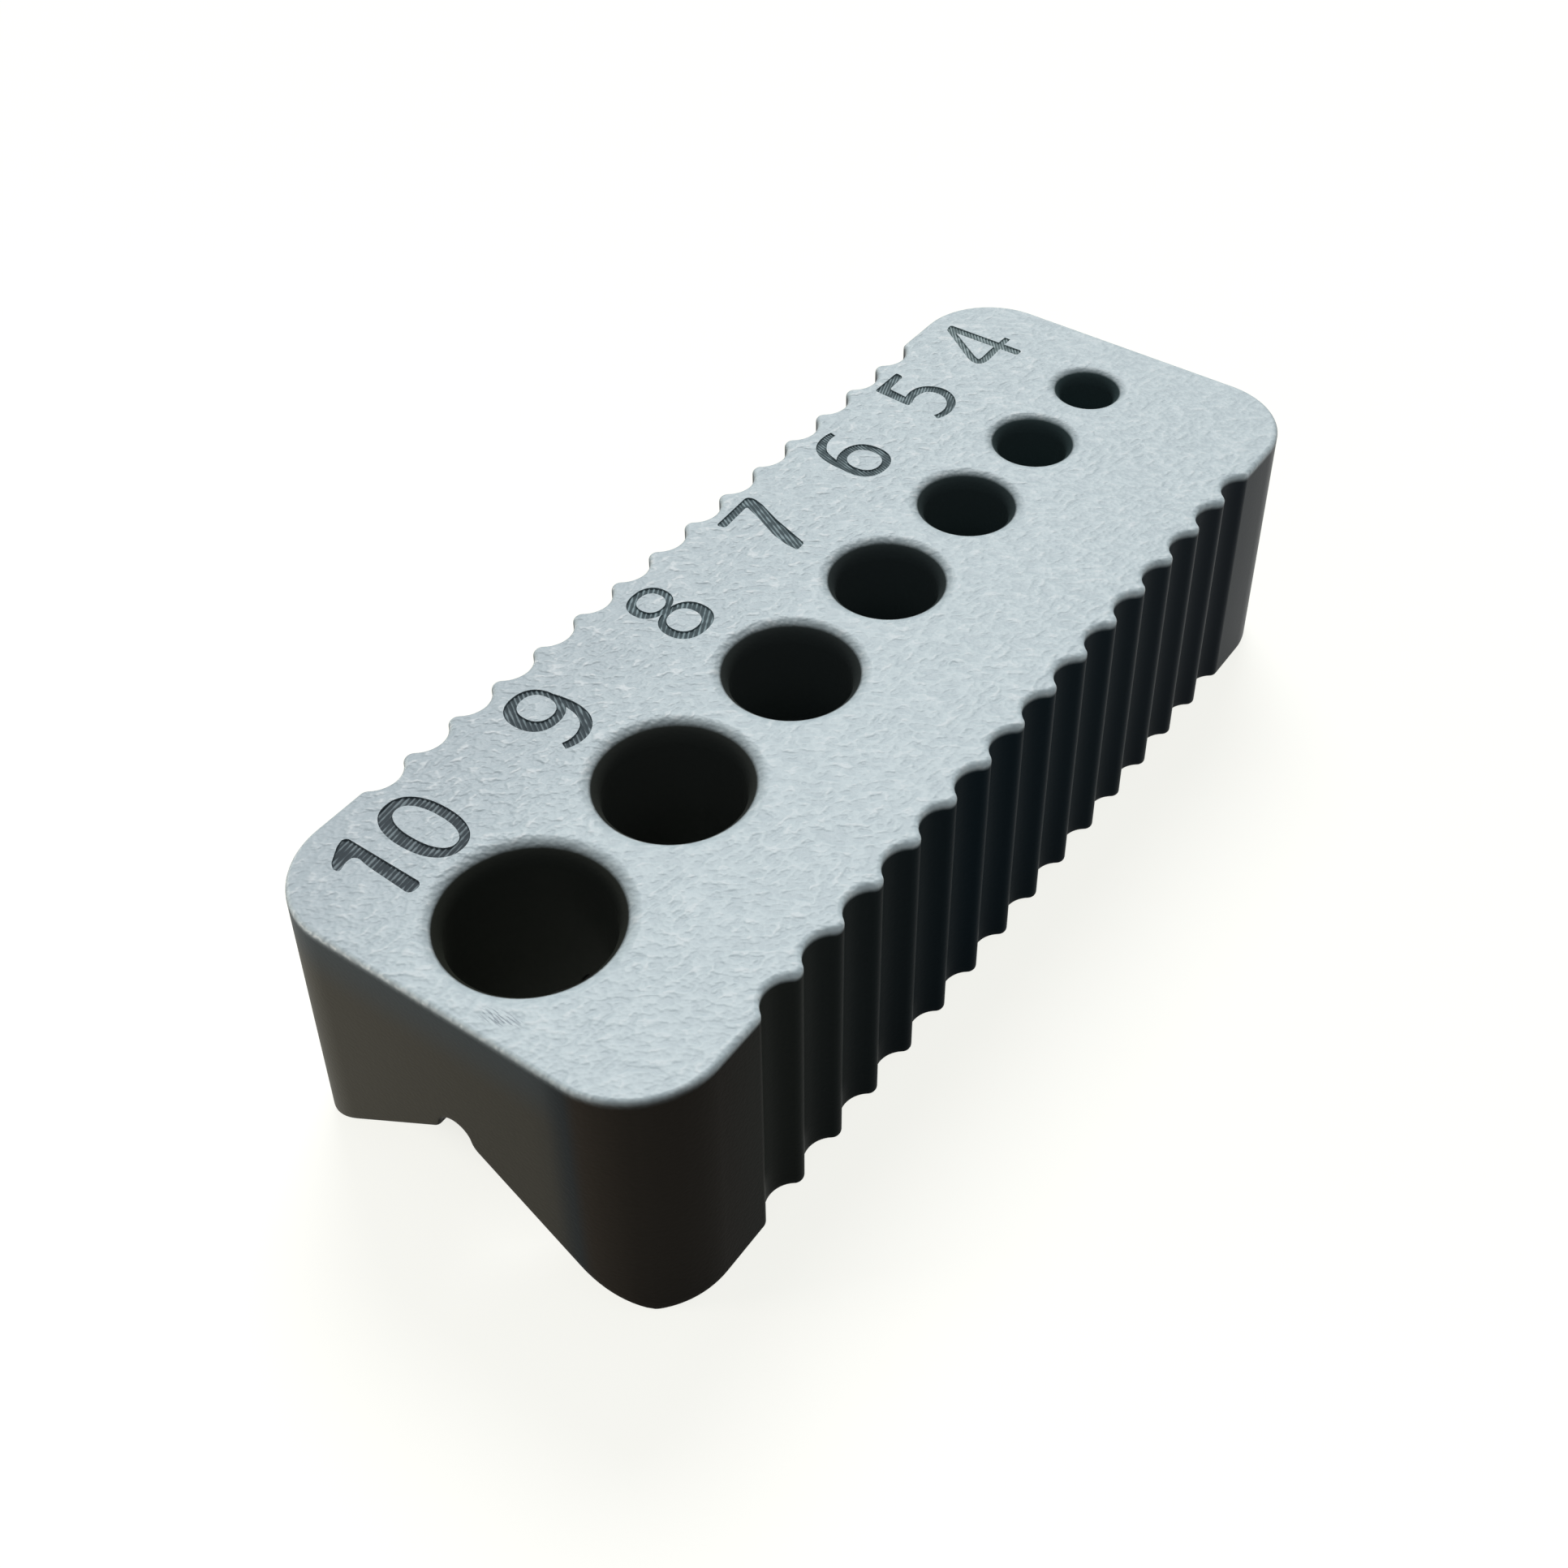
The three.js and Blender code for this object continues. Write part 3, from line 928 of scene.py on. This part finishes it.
def colour(red, green, blue):
    """A colour as it reads on a screen, from 0 to 255, turned into light: c / 12.92 for the darkest
    tones, and ((c + 0.055) / 1.055) to the power 2.4 for all others."""
    parts = np.array([red, green, blue]) / 255
    light = np.where(parts <= 0.04045, parts / 12.92, ((parts + 0.055) / 1.055) ** 2.4)
    return (*light.tolist(), 1.0)


def tones(*stops):
    """Stops for a ramp from rows of a share, red, green and blue."""
    return [(share, colour(*parts)) for share, *parts in stops]


PALE = colour(203, 217, 221)
print("pale finish as light:", [round(v, 3) for v in PALE])

# %% [markdown]
# The block's metal has two looks. The top is pale blue-grey, and the rest is satin black. The pale
# part starts with its grain: a fine leathery one, of short waves in one direction that turn into
# waves at a slant to them wherever a slow noise says so, with the still finer pitting of blasting on
# top. The grain is used as a bump, because it is finer than any mesh. It is flatter near both ends of
# the block, and deeper along the back, beside the figures.

# %% The grain of the top
GRAIN_HEIGHT = 0.14
GRAIN_TURN = -55
WAVE_SIZE, WAVE_STRETCH = 0.42, 2.2
PIT_SIZE, PIT_STRETCH = 0.22, 1.3
SLANT = 45  # degrees between the two directions of the waves
SWIRL_SIZE, SWIRL_LIMITS = 3.0, (0.45, 0.55)
CALM_SQUARES = (600, 1500)  # squares of the distances from the middle at which the grain calms
CALM_DEPTH = 0.75
CLOUD_SIZE, CLOUD_PULL = 5.0, 1800
BACK_FROM = (0, 8)  # millimetres along Y between which the grain deepens towards the back
BACK_GAIN = 0.5


def pitting(finish):
    """The finest part of the grain, which the dark metal has too."""
    return finish.noise(PIT_SIZE, PIT_STRETCH, GRAIN_TURN, detail=0.0, shift=3.0)


def top_grain(finish):
    """0.7 times the waves and 0.3 times the pitting. The waves are the first noise plus swirl times
    what the second differs from it."""
    waves = finish.noise(WAVE_SIZE, WAVE_STRETCH, GRAIN_TURN, detail=0.0)
    slanting = finish.noise(WAVE_SIZE, WAVE_STRETCH, GRAIN_TURN + SLANT, detail=0.0, shift=9.0)
    swirl = finish.step(finish.noise(SWIRL_SIZE, shift=5.0), *SWIRL_LIMITS)
    return 0.7 * (waves + swirl * (slanting - waves)) + 0.3 * pitting(finish)


def grain_depth(finish):
    """1 in the middle, CALM_DEPTH past CALM_SQUARES, whose border clouds push to and fro, and all of it
    times 1 + BACK_GAIN along the back."""
    clouds = finish.noise(CLOUD_SIZE, shift=7.0)
    away = finish.distance("X") ** 2 + CLOUD_PULL * (clouds - 0.5)
    back = finish.step(finish.distance("Y"), *BACK_FROM, 0.0, BACK_GAIN)
    return finish.step(away, *CALM_SQUARES, 1.0, CALM_DEPTH) * (1 + back)


print("waves", WAVE_SIZE, "mm across and", round(WAVE_SIZE * WAVE_STRETCH, 2), "mm long")

# %% [markdown]
# The tones of the top follow its grain: the low spots are a little darker, partly as painted shade
# in the dips, and on the highest a painted highlight glints. Towards the back it gets darker, most of
# all at the wide end, as a painted falloff of the main light. Near the mouth of the widest bore is a
# small scuff, made of fine strokes inside a patch that fades outwards.

# %% The pale top
SATIN = 0.42  # the roughness of both looks
PALE_GLOSS = 0.35
# the tone of the grain's dips: the grain's own tone with painted shade in the dips
PAINTED_DIP_SHADE = colour(192, 206, 211)
DIP_HEIGHTS = (0.36, 0.58)  # of the grain, between which the tone of the dips goes over into PALE
# painted shade: the main light's falloff towards the back and the wide end
PAINTED_FALLOFF_SHADE = colour(180, 192, 198)
SHADE_ACROSS, SHADE_ALONG, SHADE_MOST = (0, 14), (-34, 25), 0.8  # millimetres along Y and X, and a share
# a painted highlight on the highest grain
PAINTED_GLINT = colour(232, 238, 240)
GLINT_HEIGHTS, GLINT_MOST = (0.56, 0.74), 0.45
SCUFF = colour(122, 135, 146)
SCUFF_PLACE = (-38.4, -3.4, 20.0)
SCUFF_SIZE = (1.9, 0.7, 1.0)
SCUFF_TURN = -75
SCUFF_FADE, SCUFF_MOST = (0.3, 1.0), 0.8  # from this share of the patch's radius to that, and how strong
STROKE_SIZE, STROKE_STRETCH, STROKE_TURN = 0.13, 7.0, 84
STROKE_LIMITS = (0.48, 0.58)


def scuff(finish):
    """Strokes of stretched noise, times a share that falls from SCUFF_MOST to 0 at the patch's rim."""
    patch = finish.patches(SCUFF_PLACE, SCUFF_SIZE, SCUFF_TURN)
    away = finish.node("ShaderNodeVectorMath", {"operation": "LENGTH"}, {0: patch}, out="Value")
    strokes = finish.noise(STROKE_SIZE, STROKE_STRETCH, STROKE_TURN, shift=11.0)
    return finish.step(away, *SCUFF_FADE, SCUFF_MOST, 0.0) * finish.step(strokes, *STROKE_LIMITS)


def pale_top(finish):
    """The shader of the pale finish."""
    grain = top_grain(finish)
    depth = grain_depth(finish)
    across = finish.step(finish.distance("Y"), *SHADE_ACROSS)
    along = finish.step(finish.distance("X"), *SHADE_ALONG, 1.0, 0.0)
    # painted shade in the dips of the grain
    skin = finish.blend(finish.step(grain, *DIP_HEIGHTS), PAINTED_DIP_SHADE, PALE)
    # painted falloff shade towards the back and the wide end
    skin = finish.blend(SHADE_MOST * (across * along), skin, PAINTED_FALLOFF_SHADE)
    # painted highlights on the highest grain
    skin = finish.blend(GLINT_MOST * finish.step(grain, *GLINT_HEIGHTS) * depth, skin, PAINTED_GLINT)
    skin = finish.blend(scuff(finish), skin, SCUFF)
    return finish.metal(skin, SATIN, PALE_GLOSS, finish.bump(grain * depth, GRAIN_HEIGHT))


print("the scuff measures", SCUFF_SIZE[0] * 2, "by", SCUFF_SIZE[1] * 2, "mm")

# %% [markdown]
# The black finish isn't one black. It is warm at the wide end, cool along the flutes, and a shade
# lighter on the flat ends, which are cooler close to the top. Along the sides it is painted lighter
# towards the narrow end and at the wide end's front corner, as painted reflection and light, and a
# cool band of painted shade lies where the corners turn into the ends. The bores have paler tones
# than the sides, because little light gets into them, and the tone goes down towards the mouth, where
# more light falls, so that a bore looks evenly black. A thin oily film gives the black its faint
# gloss towards the narrow end, and the bores have none.

# %% The dark body
# lighter towards the narrow end and at the wide end's front corner: painted reflection and light over the
# black's own tones
SIDE_TONES_AND_REFLECTION = tones((0.0, 39, 35, 30), (0.02, 45, 41, 36), (0.08, 30, 27, 23), (0.14, 36, 39, 36),
                   (0.42, 20, 32, 38), (0.62, 20, 32, 38), (0.95, 34, 40, 46))
BORE_TONES = tones((0.05, 67, 70, 63), (0.3, 82, 86, 82), (0.55, 84, 93, 93), (0.9, 88, 108, 110))
# a cool band where the corners turn into the ends: painted shade
PAINTED_CORNER_SHADE = colour(32, 36, 38)
END_BLACK = colour(53, 52, 47)
END_TOP = colour(51, 56, 58)
END_TOP_HEIGHTS = (15, 19.5)  # millimetres above the foot between which END_TOP sets in
COOL_LIMITS, FACE_LIMITS = (0.0, 0.3), (0.2, 1.0)  # of the number called end
INSIDE_LIMITS = (0.05, 0.3)  # of the number called deep
MOUTH_SHADES = ((0.9, 2.2, 0.45), (0.45, 1.2, 0.3))  # of deep too, and the share of black nearer the mouth
FILM_RISES = ((-14, 34, 0.6), (31, 36, 0.22))  # millimetres along X, and the share gained between them
DARK_GLOSS, DARK_GRAIN_HEIGHT = 0.01, 0.01


def along_block(finish):
    """0 at the wide end of the block and 1 at the narrow end."""
    return (finish.distance("X") + LENGTH / 2) * (1 / LENGTH)


def dark_tone(finish, inside):
    """The tone of the side, then that of the flat ends over it, and inside a bore the bore's own."""
    end = finish.number("end")
    deep = finish.number("deep")
    side = finish.ramp(along_block(finish), SIDE_TONES_AND_REFLECTION)
    # painted shade on the corner
    side = finish.blend(finish.step(end, *COOL_LIMITS), side, PAINTED_CORNER_SHADE)
    face = finish.blend(finish.step(finish.distance("Z"), *END_TOP_HEIGHTS), END_BLACK, END_TOP)
    side = finish.blend(finish.step(end, *FACE_LIMITS), side, face)
    bore = finish.ramp(along_block(finish), BORE_TONES)
    for low, high, black in MOUTH_SHADES:
        bore = finish.blend(finish.step(deep, low, high, black, 0.0), bore, NO_LIGHT)
    return finish.blend(inside, side, bore)


def dark_body(finish):
    """The shader of the black finish. Its film is the sum of FILM_RISES, and 0 inside the bores."""
    x = finish.distance("X")
    inside = finish.step(finish.number("deep"), *INSIDE_LIMITS)
    film = sum(share * finish.step(x, low, high) for low, high, share in FILM_RISES) * (1.0 - inside)
    relief = finish.bump(pitting(finish), DARK_GRAIN_HEIGHT)
    return finish.metal(dark_tone(finish, inside), SATIN, DARK_GLOSS, relief, film)


print("side tones at", [share for share, _ in SIDE_TONES_AND_REFLECTION], "of the length")

# %% [markdown]
# One material holds both looks and mixes them by the vertex number called pale. Pitting is added to
# that number first, so the border frays a little, as wear makes it.

# %% The two-tone metal
FRAYING = 0.04
PALE_LIMITS = (0.02, 0.98)


def two_tone_metal():
    material = bpy.data.materials.new("two_tone_metal")
    finish = Finish(material)
    frayed = finish.number("pale") + FRAYING * (pitting(finish) - 0.5)
    finish.surface(finish.node("ShaderNodeMixShader", sockets={
        0: finish.step(frayed, *PALE_LIMITS), 1: dark_body(finish), 2: pale_top(finish)}))
    return material


block_mesh.materials.append(two_tone_metal())
print("two-tone metal of", len(block_mesh.materials[0].node_tree.nodes), "nodes")

# %% [markdown]
# The floor of the engraving is matt and burnt dark. The ribs between the passes of the beam are
# lighter, partly because it only grazes them and partly as painted light on their crests, and soot
# covers them unevenly. Both tones get paler towards the narrow end. This second material goes on the
# marked faces.

# %% The engraved floor
CUT_TONES = tones((0.2, 58, 68, 74), (0.42, 70, 85, 90), (0.82, 76, 91, 95), (0.92, 101, 117, 119))
# the ribs' own lighter tone with painted light on their crests
RIB_TONES_AND_HIGHLIGHT = tones((0.2, 134, 147, 152), (0.42, 153, 172, 177), (0.82, 159, 176, 180), (0.92, 184, 201, 203))
SOOT_SIZE, SOOT_PULL = 0.9, 2.0
RIB_LIMITS = (0.45, 1.1)


def engraved_floor():
    material = bpy.data.materials.new("engraved_floor")
    finish = Finish(material)
    along = along_block(finish)
    sooty = finish.number("rib") + SOOT_PULL * (finish.noise(SOOT_SIZE) - 0.5)
    ribs = finish.step(sooty, *RIB_LIMITS)
    cut = finish.blend(ribs, finish.ramp(along, CUT_TONES), finish.ramp(along, RIB_TONES_AND_HIGHLIGHT))
    finish.surface(finish.node("ShaderNodeBsdfPrincipled", sockets={
        "Base Color": cut, "Roughness": 0.6, "Specular IOR Level": 0.2}))
    return material


block_mesh.materials.append(engraved_floor())
block_mesh.polygons.foreach_set("material_index", np.array(engraved, np.int32))
print(sum(engraved), "engraved faces")

# %% [markdown]
# The floor is plain and pale. To the camera, and in the block's own gloss, part of its light is its
# own, so that it reads as white paper while the block's soft shadow still shows on it. All other light
# meets it as ordinary matt paper. Under the block the paper's own light falls off from both ends of
# the groove inwards, as daylight does there, so no white shows at the bottom of a bore.

# %% The paper's own light
OPEN_ENDS = (0.28, 0.47)  # shares of the length, from the middle, between which it grows
OPEN_SIDES = (0.38, 0.44)  # and shares of the width


def seen(finish):
    """1 where the camera, a reflection or a view through glass looks, and 0 for all other light."""
    ray = finish.node("ShaderNodeLightPath", out="Is Camera Ray")
    paths = ray.socket.node.outputs
    return ray + Wire(finish, paths["Is Glossy Ray"]) + Wire(finish, paths["Is Transmission Ray"])


def daylight(finish):
    """1 on the open paper. Under the block it is 1 less the product of what is missing lengthwise and
    what is missing crosswise, each a soft step on the square of the distance from the middle."""
    from_ends = finish.step(finish.distance("X") ** 2, *((share * LENGTH) ** 2 for share in OPEN_ENDS))
    from_sides = finish.step(finish.distance("Y") ** 2, *((share * WIDTH) ** 2 for share in OPEN_SIDES))
    return 1.0 - (1.0 - from_ends) * (1.0 - from_sides)


def paper():
    material = bpy.data.materials.new("paper")
    finish = Finish(material)
    matt = finish.node("ShaderNodeBsdfDiffuse", sockets={"Color": (0.62, 0.62, 0.61, 1)})
    faint = finish.node("ShaderNodeBsdfDiffuse", sockets={"Color": (0.25, 0.25, 0.25, 1)})
    glow = finish.node("ShaderNodeEmission", sockets={"Color": (1, 1, 0.95, 1), "Strength": 0.84})
    lit = finish.node("ShaderNodeAddShader", sockets={0: faint, 1: glow})
    finish.surface(finish.node("ShaderNodeMixShader", sockets={
        0: seen(finish) * daylight(finish), 1: matt, 2: lit}))
    return material


paper_finish = paper()
print("the paper shows its own light from", round(OPEN_ENDS[0] * LENGTH, 1), "mm off the middle")

# %% [markdown]
# The floor itself is one large face just under the feet, so that the two don't fight for the same
# height. The world behind works as the paper does: white where it is looked at, and a dim cool sky to
# everything else, so that it hardly lights the block.

# %% Floor and world
FLOOR_SIZE = 3000.0
FLOOR_DROP = 0.02

square = np.array([(-1, -1), (1, -1), (1, 1), (-1, 1)]) * FLOOR_SIZE / 2
floor_mesh = bpy.data.meshes.new("floor")
floor_mesh.from_pydata(np.column_stack([square, np.full(4, -FLOOR_DROP)]) * MM, [], [(0, 1, 2, 3)])
floor_mesh.materials.append(paper_finish)
floor = bpy.data.objects.new("floor", floor_mesh)
bpy.context.scene.collection.objects.link(floor)

world = bpy.data.worlds.new("studio")
bpy.context.scene.world = world
air = Finish(world)
dim = air.node("ShaderNodeBackground", sockets={"Color": (0.93, 0.97, 1, 1), "Strength": 0.28})
white = air.node("ShaderNodeBackground", sockets={"Color": (1, 1, 0.985, 1), "Strength": 1.0})
around = air.node("ShaderNodeMixShader", sockets={0: seen(air), 1: dim, 2: white})
air.node("ShaderNodeOutputWorld", sockets={"Surface": around})
print("floor", FLOOR_SIZE * MM, "m wide")

# %% [markdown]
# The main light stands high behind the block and is as wide as a large soft box. It gives the top its
# level and the grain its small shadows, and the rounded edges that turn towards the camera fall away
# from it. Close to the floor, a small warm box lights the near end of the block, and a faint cool one
# stands off its far corner. All three stay outside the picture.

# %% Lamps
def aimed(name, kind, place, energy):
    """A lamp of this kind that looks at the block from its place, given in metres."""
    lamp = bpy.data.lights.new(name, kind)
    lamp.energy = energy
    holder = bpy.data.objects.new(name, lamp)
    holder.location = place
    holder.rotation_mode = "QUATERNION"
    holder.rotation_quaternion = Vector(place).to_track_quat("Z", "Y")
    bpy.context.scene.collection.objects.link(holder)
    return lamp


main = aimed("main", "SUN", (0.503, 0.356, 0.788), 2.0)
main.angle = math.radians(30)
left = aimed("low_left", "AREA", (-0.11, 0.075, 0.012), 0.125)
left.size = 0.03
left.color = (1.0, 0.93, 0.84)
right = aimed("low_right", "AREA", (0.11, -0.065, 0.01), 0.005)
right.size = 0.02
right.color = (0.86, 0.94, 1.0)
print("lamps:", [(lamp.name, round(lamp.energy, 3)) for lamp in (main, left, right)])

# %% [markdown]
# Last, the colours are shown as they are, without a film look.

# %% Colours
bpy.context.scene.view_settings.view_transform = "Standard"
